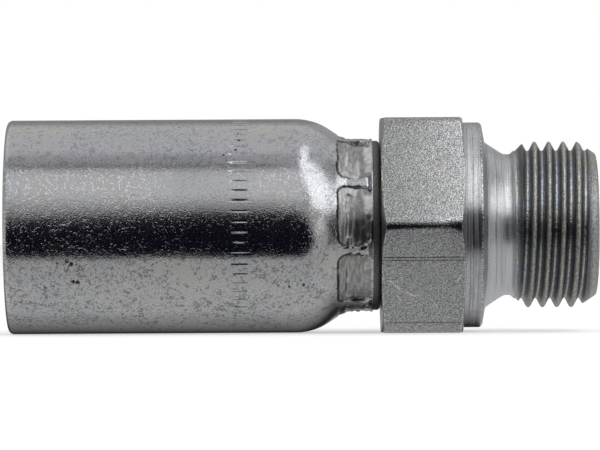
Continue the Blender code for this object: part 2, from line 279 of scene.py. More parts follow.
shell_rows += [
    (LIP_RADIUS + 0.04, NECK_END + 0.06),
    (LIP_RADIUS, NECK_END + 0.1),
    (LIP_RADIUS, FERRULE_END - 0.3),
    (LIP_RADIUS - 0.06, FERRULE_END - 0.2),
    (LIP_RADIUS - 0.24, FERRULE_END - 0.03),
    (LIP_RADIUS - 0.32, FERRULE_END),
    (NECK_BORE + 0.3, FERRULE_END),
    (NECK_BORE, FERRULE_END - 0.3),
]
lip_last = len(shell_rows)
shell_rows += [(NECK_BORE, 43.1), (TOOTH_RADIUS, 39.52)]
tooth_pitch = (TOOTH_END - TOOTH_START) / TOOTH_COUNT
for tooth in reversed(range(TOOTH_COUNT)):
    crest = TOOTH_START + tooth * tooth_pitch
    shell_rows += [
        (TOOTH_RADIUS, crest + tooth_pitch),
        (TOOTH_RADIUS + TOOTH_DEPTH, crest + TOOTH_FACE),
        (TOOTH_RADIUS + TOOTH_DEPTH - 0.08, crest + TOOTH_FACE - 0.12),
    ]
shell_rows += [(TOOTH_RADIUS, TOOTH_START), (TOOTH_RADIUS + 0.64, 0.06), (TOOTH_RADIUS + 0.74, 0)]

ferrule_mesh = turned_mesh("ferrule", shell_angles, shell_rows)
pad, crease_shade, rim_highlight, lip, worn = np.zeros((5, len(shell_rows), len(shell_angles)))
for values, masks in zip((pad, crease_shade, rim_highlight), zip(*neck_masks)):
    values[neck_first:neck_last] = masks
lip[neck_last:lip_last] = 1
worn[2:9] = 1
worn[neck_last + 3 : neck_last + 5] = 1
for name, values in (("pad", pad), ("crease_shade", crease_shade), ("rim_highlight", rim_highlight), ("lip", lip), ("worn", worn)):
    mark(ferrule_mesh, name, values)


class Nodes:
    """Adds nodes to a tree and joins them. An input is a socket, or the value that it is set to."""

    def __init__(self, tree):
        self.tree = tree

    def add(self, kind, inputs=(), **settings):
        node = self.tree.nodes.new(kind)
        for key, value in settings.items():
            setattr(node, key, value)
        for key, value in dict(inputs).items():
            self.feed(value, node.inputs[key])
        return node

    def out(self, kind, inputs=(), **settings):
        """Adds a node and gives its first output."""
        return self.add(kind, inputs, **settings).outputs[0]

    def feed(self, value, socket):
        if isinstance(value, bpy.types.NodeSocket):
            self.tree.links.new(value, socket)
        else:
            socket.default_value = value

    def math(self, operation, first, second=0.0, clamp=False):
        inputs = {0: first, 1: second}
        return self.out("ShaderNodeMath", inputs, operation=operation, use_clamp=clamp)

    def times(self, first, *others):
        for other in others:
            first = self.math("MULTIPLY", first, other)
        return first

    def plus(self, first, *others):
        for other in others:
            first = self.math("ADD", first, other)
        return first

    def minus(self, first, second):
        return self.math("SUBTRACT", first, second)

    def ratio(self, first, second, clamp=False):
        return self.math("DIVIDE", first, second, clamp)

    def larger(self, first, second):
        return self.math("MAXIMUM", first, second)

    def length(self, first, second):
        """The length of a line whose two parts stand square to each other."""
        squares = [self.math("POWER", part, 2) for part in (first, second)]
        return self.math("SQRT", self.plus(*squares))

    def fade(self, value, low, high):
        """1 above high and 0 below low, or the other way round where low is the larger."""
        inputs = {"Value": value, "From Min": low, "From Max": high}
        return self.out("ShaderNodeMapRange", inputs, interpolation_type="SMOOTHSTEP")

    def words(self):
        """The tree's sums, for use under short names."""
        return self.math, self.times, self.plus, self.minus, self.ratio, self.larger, self.fade

    def vector(self, operation, first, second):
        inputs = {0: first, 1: second}
        return self.out("ShaderNodeVectorMath", inputs, operation=operation)

    def split(self, vector):
        return self.add("ShaderNodeSeparateXYZ", {0: vector}).outputs

    def tinted(self, mask, under, over):
        """Over in place of under where the mask is 1. Each is a colour or a socket."""
        mix = self.add("ShaderNodeMix", data_type="RGBA")
        for index, value in ((0, mask), (6, under), (7, over)):
            self.feed((*value, 1) if isinstance(value, tuple) else value, mix.inputs[index])
        return mix.outputs[2]

    def layered(self, color, *layers):
        """A colour with layers on it, each told by its mask and its own colour."""
        for mask, over in layers:
            color = self.tinted(mask, color, over)
        return color


def new_tree(kind, name, inputs, outputs):
    """A tree with its nodes and named sockets. An input is told by its type or its usual value."""
    tree = bpy.data.node_groups.new(name, kind)
    for label, usual in inputs.items():
        typed = isinstance(usual, str)
        socket_type = "NodeSocket" + (usual if typed else "Float")
        socket = tree.interface.new_socket(label, in_out="INPUT", socket_type=socket_type)
        if not typed:
            socket.default_value = usual
    for label, socket_type in outputs.items():
        socket_type = "NodeSocket" + socket_type
        tree.interface.new_socket(label, in_out="OUTPUT", socket_type=socket_type)
    nodes = Nodes(tree)
    return tree, nodes, nodes.add("NodeGroupInput").outputs, nodes.add("NodeGroupOutput").inputs


def made_by(name, tree, values, start_mesh=None):
    """Runs a geometry tree with the named inputs and returns its plain mesh."""
    holder = new_object(name, start_mesh or bpy.data.meshes.new(name))
    modifier = holder.modifiers.new(name, "NODES")
    modifier.node_group = tree
    for item in tree.interface.items_tree:
        if item.in_out == "INPUT" and item.name in values:
            modifier[item.identifier] = values[item.name]
    bpy.context.view_layer.update()
    graph = bpy.context.evaluated_depsgraph_get()
    mesh = bpy.data.meshes.new_from_object(holder.evaluated_get(graph))
    bpy.data.objects.remove(holder)
    return mesh


def geometry_tree(name, sizes, inputs=()):
    """A tree that makes or bends a skin, with an input for each of the sizes and for its place."""
    numbers = {label: "Int" if isinstance(size, int) else "Float" for label, size in sizes.items()}
    inputs = dict(inputs) | numbers | {"Place": "Vector", "Material": "Material"}
    return new_tree("GeometryNodeTree", name, inputs, {"Geometry": "Geometry"})


def finish_skin(nodes, skin, material, out):
    skin = nodes.out("GeometryNodeRealizeInstances", {"Geometry": skin})
    finish = {"Geometry": skin, "Material": material}
    nodes.feed(nodes.out("GeometryNodeSetMaterial", finish), out["Geometry"])


TICKS = {
    "Count": TICK_COUNT,
    "First Turn": math.radians(TICK_TURN),
    "Half Width": TICK_HALF_WIDTH * MM,
    "Depth": TICK_DEPTH * MM,
    "Start": TICK_START * MM,
    "End": TICK_END * MM,
    "Ramp": TICK_RAMP * MM,
    "Inner Radius": TICK_INNER_RADIUS * MM,
}


def tick_tree():
    """Presses a ring of short marks into the skin that it is given, each a shallow V."""
    tree, nodes, given, out = geometry_tree("tick_ring", TICKS, {"Geometry": "Geometry"})
    calc, times, plus, minus, ratio, larger, fade = nodes.words()

    position = nodes.out("GeometryNodeInputPosition")
    x, y, z = nodes.split(nodes.vector("SUBTRACT", position, given["Place"]))
    radius = nodes.length(y, z)
    angle = calc("ARCTAN2", y, times(z, -1))
    step = ratio(2 * math.pi, given["Count"])
    counted = ratio(minus(angle, given["First Turn"]), step)
    off_line = calc("ABSOLUTE", minus(counted, calc("ROUND", counted)))
    off_line = times(off_line, step, radius)
    groove = calc("SUBTRACT", 1, ratio(off_line, given["Half Width"]), True)
    rise = ratio(minus(x, given["Start"]), given["Ramp"], True)
    fall = ratio(minus(given["End"], x), given["Ramp"], True)
    outer = calc("GREATER_THAN", radius, given["Inner Radius"])
    press = times(groove, outer, calc("MINIMUM", rise, fall))
    depth = ratio(times(press, given["Depth"], -1), radius)
    outward = nodes.out("ShaderNodeCombineXYZ", {1: y, 2: z})
    offset = nodes.out("ShaderNodeVectorMath", {0: outward, "Scale": depth}, operation="SCALE")
    skin = nodes.out("GeometryNodeSetPosition", {"Geometry": given["Geometry"], "Offset": offset})
    settings = {"Geometry": skin, "Name": "tick", "Value": press}
    skin = nodes.out("GeometryNodeStoreNamedAttribute", settings)
    finish_skin(nodes, skin, given["Material"], out)
    return tree


def shader_group(name, inputs, outputs):
    """A new group of texture nodes that a vector lays out, with its numbers' usual values."""
    inputs = {"Vector": "Vector"} | inputs
    return new_tree("ShaderNodeTree", name, inputs, dict.fromkeys(outputs, "Float"))


def noise(nodes, vector, scale, detail=2.0, roughness=0.5, distortion=0.0):
    inputs = {"Vector": vector, "Scale": scale, "Detail": detail, "Roughness": roughness}
    return nodes.add("ShaderNodeTexNoise", inputs | {"Distortion": distortion}).outputs["Fac"]


def cells_of(nodes, vector, spacing):
    """Flat cells over the unrolled skin, and three numbers that chance gives to each."""
    inputs = {"Vector": vector, "Scale": nodes.ratio(1, spacing)}
    cells = nodes.add("ShaderNodeTexVoronoi", inputs, voronoi_dimensions="2D").outputs
    return cells, nodes.add("ShaderNodeSeparateColor", {0: cells["Color"]}).outputs


# Plate grain: the fine crystals of the zinc, dull flecks and bright sparks, where glints are
# painted, and clouds of tone
plate_grain, nodes, given, out = shader_group(
    "plate_grain", {"Grain": 0.2, "Cloud": 3.0}, ("Height", "Grit", "Fleck", "Spark", "Cloud")
)
fine = nodes.ratio(1, given["Grain"])
shifted = nodes.vector("ADD", given["Vector"], (31, 17, 5))
nodes.feed(noise(nodes, given["Vector"], fine, 1), out["Height"])
for label, vector, scale, detail, roughness, low, high in (
    ("Grit", shifted, 1.2, 0, 0.5, 0.34, 0.66),
    ("Fleck", given["Vector"], 0.45, 3, 0.75, 0.58, 0.68),
    ("Spark", shifted, 0.9, 1, 0.6, 0.63, 0.69),
):
    level = noise(nodes, vector, nodes.times(fine, scale), detail, roughness)
    nodes.feed(nodes.fade(level, low, high), out[label])
wide = nodes.ratio(1, given["Cloud"])
nodes.feed(noise(nodes, given["Vector"], wide, 5, 0.62, 0.5), out["Cloud"])

# Pits: small ragged holes where the plate is broken, one in some of the cells of the unrolled skin
plate_pits, nodes, given, out = shader_group(
    "plate_pits", {"Spacing": 1.1, "Share": 0.25, "Least": 0.03, "Spread": 0.10}, ("Pits",)
)
calc, times, plus, minus, ratio, larger, fade = nodes.words()
ragged = {"Vector": given["Vector"], "Scale": 4.0, "Detail": 2.0}
ragged = nodes.add("ShaderNodeTexNoise", ragged).outputs["Color"]
ragged = {0: ragged, 1: (0.35, 0.35, 0.35), 2: given["Vector"]}
ragged = nodes.out("ShaderNodeVectorMath", ragged, operation="MULTIPLY_ADD")
cells, chance = cells_of(nodes, ragged, given["Spacing"])
chosen = calc("LESS_THAN", chance[0], given["Share"])
size = plus(times(calc("POWER", chance[1], 3), given["Spread"]), given["Least"])
apart = times(cells["Distance"], given["Spacing"])
spot = calc("MULTIPLY", calc("SUBTRACT", 1, ratio(apart, size), True), 2.5, True)
nodes.feed(times(spot, chosen), out["Pits"])

# Plate cracks: fine crooked dark lines in the plate, broken into short runs
plate_cracks, nodes, given, out = shader_group(
    "plate_cracks", {"Spacing": 1.0, "Width": 0.05}, ("Marks",)
)
calc, times, plus, minus, ratio, larger, fade = nodes.words()
wide = ratio(1, given["Spacing"])
level = noise(nodes, given["Vector"], wide, 4, 0.65, 0.4)
off_level = calc("ABSOLUTE", minus(level, 0.5))
line = calc("SUBTRACT", 1, ratio(off_level, given["Width"]), True)
shifted = nodes.vector("ADD", given["Vector"], (7, 53, 29))
broken = fade(noise(nodes, shifted, times(wide, 1.9), 2), 0.48, 0.58)
nodes.feed(times(line, broken), out["Marks"])

# Hair marks: short curved scratches and dents in all directions, one in each cell of the skin
hair_marks, nodes, given, out = shader_group(
    "hair_marks", {"Spacing": 0.8, "Length": 0.9, "Width": 0.07, "Share": 0.8}, ("Marks",)
)
calc, times, plus, minus, ratio, larger, fade = nodes.words()
cells, chance = cells_of(nodes, given["Vector"], given["Spacing"])
x, y, _ = nodes.split(nodes.vector("SUBTRACT", given["Vector"], cells["Position"]))
turn = times(chance[0], 2 * math.pi)
cosine, sine = calc("COSINE", turn), calc("SINE", turn)
along = plus(times(x, cosine), times(y, sine))
across = minus(times(y, cosine), times(x, sine))
bend = times(minus(chance[1], 0.5), 1.6)
across = plus(across, times(along, along, bend))
profile = calc("SUBTRACT", 1, ratio(calc("ABSOLUTE", across), given["Width"]), True)
reach = ratio(calc("ABSOLUTE", along), times(given["Length"], 0.5))
kept = calc("LESS_THAN", chance[2], given["Share"])
nodes.feed(times(profile, fade(reach, 1.0, 0.6), kept), out["Marks"])

# Turning lines: what the tool left round a turned face, close rings that vary along the axis
turning_lines, nodes, given, out = shader_group("turning_lines", {"Spacing": 0.3}, ("Lines",))
x, y, z = nodes.split(given["Vector"])
ring = {0: nodes.ratio(x, given["Spacing"]), 1: nodes.times(y, 0.03), 2: nodes.times(z, 0.03)}
ring = nodes.out("ShaderNodeCombineXYZ", ring)
nodes.feed(noise(nodes, ring, 1, 3, 0.65), out["Lines"])


def zinc_material(name):
    """A material with its nodes, the place on the piece in millimetres from its middle and its
    axis, that place's parts, the place on the unrolled skin, and a way to place a group."""
    material = bpy.data.materials.new(name)
    material.use_nodes = True
    nodes = Nodes(material.node_tree)
    spot = nodes.add("ShaderNodeTexCoord").outputs["Object"]
    settings = {"Vector": spot, "Location": (0, 0, -1000 * axis_z), "Scale": (1000, 1000, 1000)}
    place = nodes.out("ShaderNodeMapping", settings)
    x, y, z = nodes.split(place)
    along = nodes.minus(x, nodes.length(y, z))
    around = nodes.times(nodes.math("ARCTAN2", y, z), SHELL_RADIUS)
    unrolled = nodes.out("ShaderNodeCombineXYZ", {0: along, 1: around})

    def placed(tree, vector=None, **values):
        group = nodes.add("ShaderNodeGroup", node_tree=tree)
        nodes.feed(vector or place, group.inputs["Vector"])
        for key, value in values.items():
            nodes.feed(value, group.inputs[key])
        return group.outputs

    return material, nodes, place, (x, y, z), unrolled, placed


def mask_of(nodes, name):
    return nodes.add("ShaderNodeAttribute", attribute_name=name).outputs["Fac"]


def finish_zinc(nodes, color, roughness, height):
    """Feeds the material's shader. The height is in millimetres."""
    shader = nodes.tree.nodes["Principled BSDF"]
    bump = nodes.out("ShaderNodeBump", {"Height": height, "Distance": MM, "Strength": 1.0})
    feeds = {"Metallic": 1, "Base Color": color, "Roughness": roughness, "Normal": bump}
    for label, value in feeds.items():
        nodes.feed(value, shader.inputs[label])


# Nicks in the plate: the place along the mouth's side, the turn in degrees and the size of each
NICKS = (
    (8.0, -71.8, 0.26), (8.5, -70.2, 0.27), (8.7, -59.8, 0.26), (9.25, -59.4, 0.27),
    (29.3, -142.5, 0.2), (28.9, -134.7, 0.16), (37.3, -57.1, 0.2), (38.5, -56.8, 0.16),
    (35.5, -56.0, 0.15), (27.4, -131.0, 0.14), (17.5, 40.0, 0.3), (24.0, 130.0, 0.25),
    (12.0, 88.0, 0.2),
)

ferrule_zinc, nodes, place, (x, y, z), unrolled, placed = zinc_material("ferrule_zinc")
calc, times, plus, minus, ratio, larger, fade = nodes.words()
grain = placed(plate_grain, Grain=0.16, Cloud=3.5)
stain = placed(plate_grain, Grain=0.5, Cloud=9.0)
pits = placed(plate_pits, unrolled, Spacing=1.7, Share=0.6, Least=0.05, Spread=0.16)["Pits"]
specks = placed(plate_pits, unrolled, Spacing=0.62, Share=0.45, Least=0.04, Spread=0.07)["Pits"]
hairs, small_hairs, sparks, scores = (
    placed(hair_marks, unrolled, Spacing=spacing, Length=length, Width=width, Share=share)["Marks"]
    for spacing, length, width, share in (
        (0.9, 0.9, 0.055, 0.35),
        (0.36, 0.36, 0.055, 0.55),
        (0.50, 0.50, 0.068, 0.36),
        (1.3, 2.4, 0.09, 0.85),
    )
)
cracks = placed(plate_cracks, Spacing=1.7, Width=0.035)["Marks"]
fine_cracks = placed(plate_cracks, Spacing=0.6, Width=0.06)["Marks"]
squeezed = nodes.out("ShaderNodeMapping", {"Vector": unrolled, "Scale": (1.0, 0.28, 1.0)})
pressed = placed(plate_grain, squeezed, Grain=0.5, Cloud=0.9)
pad, lip, tick = (mask_of(nodes, name) for name in ("pad", "lip", "tick"))
nicked = 0
for along, turn, size in NICKS:
    angle = math.radians(turn)
    side, rise = SHELL_RADIUS * math.sin(angle), -SHELL_RADIUS * math.cos(angle)
    spot = {0: place, 1: (along + 1000 * mouth_x, side, rise)}
    apart = nodes.add("ShaderNodeVectorMath", spot, operation="DISTANCE").outputs["Value"]
    nicked = larger(calc("MULTIPLY", minus(1.3, ratio(apart, size)), 2, True), nicked)
nicked = times(nicked, fade(grain["Height"], 0.28, 0.42))

# Where the finish changes: rubbed by the mouth, more scratches and painted glints on the side
# toward the key light, calmer above and below, with a violet tint near the top
rubbed = fade(plus(x, times(stain["Cloud"], 20)), -25.0, 8.0)
toward_key = minus(times(z, 0.17), times(y, 0.985))
toward_key = fade(toward_key, 12.2, 12.9)
along = plus(x, times(minus(stain["Cloud"], 0.5), 30))
scuffs_and_glints = larger(fade(along, -10.0, -20.0), times(fade(along, -9.0, -4.0), 0.6))
scuffs_and_glints = times(toward_key, scuffs_and_glints)
under_side = fade(z, -2.0, -4.0)
calm = larger(under_side, fade(z, 6.2, 7.6))
upper = times(fade(z, 0.0, 5.0), fade(z, 13.0, 10.0))
below = plus(0.6, times(fade(z, 2.0, -5.0), 0.4))

# The masks of the layers, and the layers themselves from the grain up
marks = larger(times(hairs, 0.35), times(small_hairs, 0.3))
marks = times(marks, plus(times(scuffs_and_glints, 1.3), 1))
# painted glints: the marks are painted bright on the side toward the key light, dark elsewhere
mark_glint_color = nodes.tinted(fade(scuffs_and_glints, 0.1, 0.4), (0.24, 0.235, 0.23), (0.97, 0.97, 0.98))
cracked = larger(cracks, times(fine_cracks, fade(stain["Cloud"], 0.36, 0.54)))
cracked = times(cracked, times(below, minus(1, toward_key)))
clustered = times(fade(stain["Cloud"], 0.38, 0.56), 0.5)
pitted = larger(times(pits, 0.8), times(specks, clustered))
pitted = times(pitted, minus(1, larger(toward_key, pad)))
# painted glints: bright sparks, painted on the side toward the key light
painted_sparks = times(larger(sparks, times(grain["Spark"], 0.6)), scuffs_and_glints)
dull_pad = times(pad, minus(0.95, times(pressed["Grit"], 0.5)))
crease_shade = fade(mask_of(nodes, "crease_shade"), 0.0, 0.65)
painted_rim_highlight = times(mask_of(nodes, "rim_highlight"), fade(grain["Cloud"], 0.42, 0.55))
# painted shade: the tick grooves are painted near black, more so underneath
tick_shade = times(fade(tick, 0.45, 1.0), plus(0.55, times(under_side, 0.4)))
worn = times(mask_of(nodes, "worn"), fade(grain["Height"], 0.48, 0.62))
color = nodes.layered(
    nodes.tinted(grain["Grit"], (0.455, 0.455, 0.467), (0.60, 0.602, 0.62)),
    (times(fade(grain["Cloud"], 0.38, 0.62), 0.35), (0.56, 0.565, 0.57)),
    (times(upper, 0.5), (0.52, 0.525, 0.59)),
    (times(fade(stain["Cloud"], 0.50, 0.66), 0.45), (0.44, 0.51, 0.50)),
    (times(fade(stain["Cloud"], 0.46, 0.34), 0.4), (0.54, 0.52, 0.45)),
    # painted: the side toward the key light gets a darker, plainer grey under its painted glints
    (times(toward_key, 0.45), (0.44, 0.443, 0.455)),
    (times(grain["Fleck"], 0.3), (0.24, 0.235, 0.23)),
    (marks, mark_glint_color),
    (cracked, (0.15, 0.145, 0.14)),
    (pitted, (0.10, 0.095, 0.09)),
    (painted_sparks, (0.98, 0.98, 0.99)),
    (dull_pad, (0.27, 0.265, 0.26)),
    (times(scores, times(pad, 0.5)), (0.12, 0.115, 0.11)),
    # painted shade along the pads' edges
    (times(crease_shade, 0.85), (0.05, 0.05, 0.05)),
    # painted highlights on the pads
    (times(painted_rim_highlight, 0.8), (0.85, 0.85, 0.85)),
    (tick_shade, (0.07, 0.07, 0.07)),
    (times(worn, 0.6), (0.85, 0.85, 0.86)),
    (nicked, (0.03, 0.03, 0.03)),
    (lip, nodes.tinted(grain["Grit"], (0.15, 0.145, 0.135), (0.25, 0.245, 0.235))),
)
roughness = plus(
    0.13,
    times(grain["Cloud"], 0.10),
    times(larger(rubbed, calm), -0.03),
    times(pad, 0.15),
    times(lip, 0.38),
    times(grain["Fleck"], 0.10),
)
relief = minus(1, times(rubbed, 0.4))
relief = times(relief, minus(1, times(calm, 0.5)), minus(1, times(pad, 0.8)))
height = plus(times(grain["Height"], 0.026), times(hairs, -0.014), times(small_hairs, -0.013))
torn = plus(times(pressed["Height"], 0.02), times(pressed["Cloud"], 0.04), times(scores, -0.007))
height = plus(
    times(height, relief),
    times(stain["Cloud"], 0.06),
    times(pits, -0.008),
    times(torn, pad),
)
finish_zinc(nodes, color, roughness, height)

ticks = TICKS | {"Place": (mouth_x, 0.0, axis_z), "Material": ferrule_zinc}
ferrule_mesh = made_by("ferrule", tick_tree(), ticks, ferrule_mesh)
face_outwards(ferrule_mesh)
ferrule = new_object("ferrule", ferrule_mesh)
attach(ferrule, "root")
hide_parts("crimp_ferrule")


# Stem. One piece turned from hexagon bar, zinc plated: hose tail with barbs, collar, staking
# groove, hexagon, flange, taper and relief, bore and cone seat. The thread has its own section.
STEM_COLUMNS = 384
BORE_RADIUS = 5.0
TAIL_START = 2.0
TAIL_RADIUS = 6.0
TAIL_END = 36.17
BARB_RADIUS = 6.6
BARB_COUNT = 8
COLLAR_RADIUS = 9.7
COLLAR_START = 38.02
COLLAR_END = 39.82
GROOVE_RADIUS = 8.6
GROOVE_START = 41.45
HEX_START = 47.015
HEX_END = 57.415
HEX_HALF_WIDTH = 13.5
HEX_FACE_RADIUS = 13.4
HEX_CHAMFER = math.tan(math.radians(15))
HEX_CORNER_ROUND = 1.6
HEX_HALF_FACE = math.radians(30)
FLANGE_RADIUS = 12.95
FLANGE_END = 59.815
FLANGE_CORNER = 0.45
TAPER_START = 60.215
TAPER_RADIUS = 10.396
RELIEF_END = 63.415
RELIEF_RADIUS = 8.896
THREAD_START = 63.835
THREAD_ROOT = 9.316
THREAD_STOP = 74.015
THREAD_LIP = 9.066
FITTING_END = 74.265
THREAD_FACE = 8.566
SEAT_RADIUS = 7.596
SEAT_DEPTH = (SEAT_RADIUS - BORE_RADIUS) / math.tan(math.radians(30))

# Lines that the drawing die left along the hexagon's faces: degrees past each corner, by face
DRAWN_LINES = ((16.6, 18.4, 54.9), (31.0,), (9.0, 47.5), (22.4, 23.5), (52.0,), ())
DRAWN_DEPTH = 0.04
DRAWN_HALF_TURN = 0.36

stem_angles = np.radians(np.arange(STEM_COLUMNS) * 360 / STEM_COLUMNS)


def hexagon_columns():
    """Angles of the hexagon's columns and how deep a drawn line is in each, from one corner on."""
    per_face = STEM_COLUMNS // 6
    near_corner = [0, 0.55, 1.1, 1.65, 2.2, 2.75, 3.1, 3.6]
    steps = (-DRAWN_HALF_TURN, 0, DRAWN_HALF_TURN)
    angles, depths = [], []
    for face, lines in enumerate(DRAWN_LINES):
        cuts = sorted(line + step for line in lines for step in steps)
        fixed = near_corner + [60 - step for step in reversed(near_corner[1:])] + cuts
        spread = list(np.linspace(4.6, 55.4, per_face - len(fixed)))
        turns = np.array(sorted(fixed + spread))
        off_line = np.abs(turns[:, None] - np.array(lines)) / DRAWN_HALF_TURN
        angles.append(turns + 60 * face)
        depths.append(DRAWN_DEPTH * np.clip(1 - off_line, 0, 1).max(axis=1, initial=0))
    return np.radians(np.concatenate(angles) - 90), np.concatenate(depths)


hex_angles, drawn_depths = hexagon_columns()
to_first = STEM_COLUMNS // 4
hex_angles = np.roll(hex_angles, -to_first)
hex_angles[-to_first:] += 2 * math.pi
drawn_depths = np.roll(drawn_depths, -to_first)

from_flat = (hex_angles + HEX_HALF_FACE) % (2 * HEX_HALF_FACE) - HEX_HALF_FACE
flat_reach = HEX_HALF_WIDTH / np.cos(from_flat)
corner_center = (HEX_HALF_WIDTH - HEX_CORNER_ROUND) / math.cos(HEX_HALF_FACE)
from_corner = HEX_HALF_FACE - np.abs(from_flat)
round_start = math.atan(corner_center * math.sin(HEX_HALF_FACE) / HEX_HALF_WIDTH)
in_round = np.abs(from_flat) > round_start
round_reach = corner_center * np.cos(from_corner) + np.sqrt(
    np.maximum(HEX_CORNER_ROUND**2 - (corner_center * np.sin(from_corner)) ** 2, 0)
)
hex_radius = np.where(in_round, round_reach, flat_reach) - drawn_depths
chamfer_drop = (hex_radius - HEX_FACE_RADIUS) * HEX_CHAMFER

# Rows of the skin, from the tail's mouth over the outside and back through the bore. Those of the
# hexagon are the same from both its ends.
hex_end = [
    (HEX_FACE_RADIUS - 0.08, 0),
    (HEX_FACE_RADIUS, 0.015),
    (hex_radius - 0.1, chamfer_drop - 0.1 * HEX_CHAMFER + 0.002),
    (hex_radius - 0.02, chamfer_drop + 0.03),
    (hex_radius, chamfer_drop + 0.14),
]
barb_pitch = (TAIL_END - TAIL_START - 0.6) / BARB_COUNT
stem_rows = [(5.4, TAIL_START), (5.9, TAIL_START + 0.5), (TAIL_RADIUS, TAIL_START + 0.7)]
for barb in reversed(range(BARB_COUNT)):
    back = TAIL_END - barb * barb_pitch
    stem_rows += [(BARB_RADIUS - 0.02, back - 0.42), (BARB_RADIUS, back - 0.34)]
    stem_rows.append((TAIL_RADIUS, back))
stem_rows += [
    (COLLAR_RADIUS - 0.15, COLLAR_START - 0.08),
    (COLLAR_RADIUS, COLLAR_START + 0.05),
    (COLLAR_RADIUS, COLLAR_END),
    (GROOVE_RADIUS, GROOVE_START),
    (GROOVE_RADIUS, HEX_START),
]
stem_rows += [(radius, HEX_START + inset, hex_angles) for radius, inset in hex_end]
stem_rows += [(radius, HEX_END - inset, hex_angles) for radius, inset in reversed(hex_end)]
stem_rows += [
    (FLANGE_RADIUS + 0.05, HEX_END),
    (FLANGE_RADIUS, HEX_END + 0.06),
]
flange_corner = (FLANGE_RADIUS - FLANGE_CORNER, FLANGE_END - FLANGE_CORNER)
stem_rows += [(FLANGE_RADIUS, FLANGE_END - 0.8)] + arc(flange_corner, FLANGE_CORNER, 0, 90, 6)
stem_rows += [
    (TAPER_RADIUS + 0.25, TAPER_START - 0.06),
    (TAPER_RADIUS + 0.06, TAPER_START + 0.02),
    (TAPER_RADIUS - 0.06, TAPER_START + 0.16),
    (TAPER_RADIUS - 0.10, TAPER_START + 0.22),
    (9.75, 61.25),
    (9.2, 62.1),
    (8.98, 62.5),
    (8.91, 62.75),
    (RELIEF_RADIUS, 63.0),
    (RELIEF_RADIUS + 0.01, 63.3),
    (RELIEF_RADIUS + 0.06, RELIEF_END + 0.03),
    (THREAD_ROOT - 0.06, THREAD_START - 0.06),
    (THREAD_ROOT, THREAD_START),
]
before_thread = len(stem_rows) - 1
stem_rows += [
    (THREAD_LIP, THREAD_STOP),
    (THREAD_LIP - 0.2, FITTING_END - 0.06),
    (THREAD_FACE, FITTING_END),
    (SEAT_RADIUS + 0.06, FITTING_END),
    (SEAT_RADIUS - 0.02, FITTING_END - 0.06),
    (BORE_RADIUS + 0.05, FITTING_END - SEAT_DEPTH + 0.03),
    (BORE_RADIUS, FITTING_END - SEAT_DEPTH - 0.06),
    (BORE_RADIUS, 50),
    (BORE_RADIUS, 26),
    (BORE_RADIUS, TAIL_START + 0.15),
    (BORE_RADIUS + 0.1, TAIL_START),
]
stem_mesh = turned_mesh("stem", stem_angles, stem_rows, open_after=(before_thread,))

# Which points are on a turned face, at an edge that wears, or in a drawn line
hex_rows = [index for index, row in enumerate(stem_rows) if len(row) > 2]
turned, worn, drawn = np.zeros((3, len(stem_rows), STEM_COLUMNS))
turned[: hex_rows[3]] = 1
turned[hex_rows[-3] :] = 1
for first in (hex_rows[2], hex_rows[-4], hex_rows[-1] + 5):
    worn[first : first + 2] = 1
drawn[hex_rows[4] : hex_rows[-4]] = drawn_depths / DRAWN_DEPTH
for name, values in (("turned", turned), ("worn", worn), ("drawn", drawn)):
    mark(stem_mesh, name, values)

# Light scratches across the hexagon's face: X and Z of both ends, from the middle and the axis
SCRATCHES = (
    (10.88, -6.89, 12.14, -7.97),
    (12.65, -8.22, 14.04, -8.86),
    (11.76, -8.73, 12.27, -9.36),
    (19.2, -7.1, 19.7, -6.2),
)
SCRATCH_HALF_WIDTH = 0.10

stem_zinc, nodes, _, (x, y, z), unrolled, placed = zinc_material("stem_zinc")
calc, times, plus, minus, ratio, larger, fade = nodes.words()
grain = placed(plate_grain, Grain=0.17, Cloud=2.5)
stain = placed(plate_grain, Grain=0.26, Cloud=4.0)
pits = placed(plate_pits, unrolled, Spacing=1.3, Share=0.5, Least=0.04, Spread=0.10)["Pits"]
hairs, scratches = (
    placed(hair_marks, unrolled, Spacing=spacing, Length=length, Width=width, Share=share)["Marks"]
    for spacing, length, width, share in ((0.9, 1.1, 0.06, 0.3), (2.0, 2.0, 0.07, 0.35))
)
lines = placed(turning_lines, Spacing=0.42)["Lines"]
fine_lines = placed(turning_lines, Spacing=0.13)["Lines"]
turned, crest, flank = (mask_of(nodes, name) for name in ("turned", "crest", "flank"))
drawn, worn, root = (mask_of(nodes, name) for name in ("drawn", "worn", "root"))
blasted = minus(1, turned)
corner = times(fade(nodes.length(y, z), 14.95, 15.2), blasted)
scratched = 0
for start_x, start_z, end_x, end_z in SCRATCHES:
    run_x, run_z = end_x - start_x, end_z - start_z
    off_x, off_z = minus(x, start_x), minus(z, start_z)
    run = plus(times(off_x, run_x), times(off_z, run_z))
    run = ratio(run, run_x**2 + run_z**2, True)
    apart = nodes.length(minus(off_x, times(run, run_x)), minus(off_z, times(run, run_z)))
    near = calc("SUBTRACT", 1, ratio(apart, SCRATCH_HALF_WIDTH), True)
    scratched = larger(near, scratched)
scratched = times(scratched, times(blasted, fade(grain["Height"], 0.42, 0.54)))

# Where the finish changes: the flange with a painted dark reflection band across its middle,
# and the taper, painted lighter underneath
on_flange = times(fade(x, 20.25, 20.35), fade(x, 22.6, 22.4))
at_middle = times(fade(z, -3.6, -2.4), fade(z, 2.4, 1.0))
# painted reflection: a near-black band round the flange at middle height, broken by turning lines
flange_dark_band = times(fade(lines, 0.46, 0.54), times(on_flange, at_middle))
on_neck = times(fade(x, 22.75, 22.95), fade(x, 26.9, 26.5))
# painted light: the taper is painted paler, most of all underneath
taper_underside_light = times(on_neck, plus(0.25, times(fade(z, 2.0, -3.0), 0.5)))
at_end = fade(x, 36.2, 36.5)

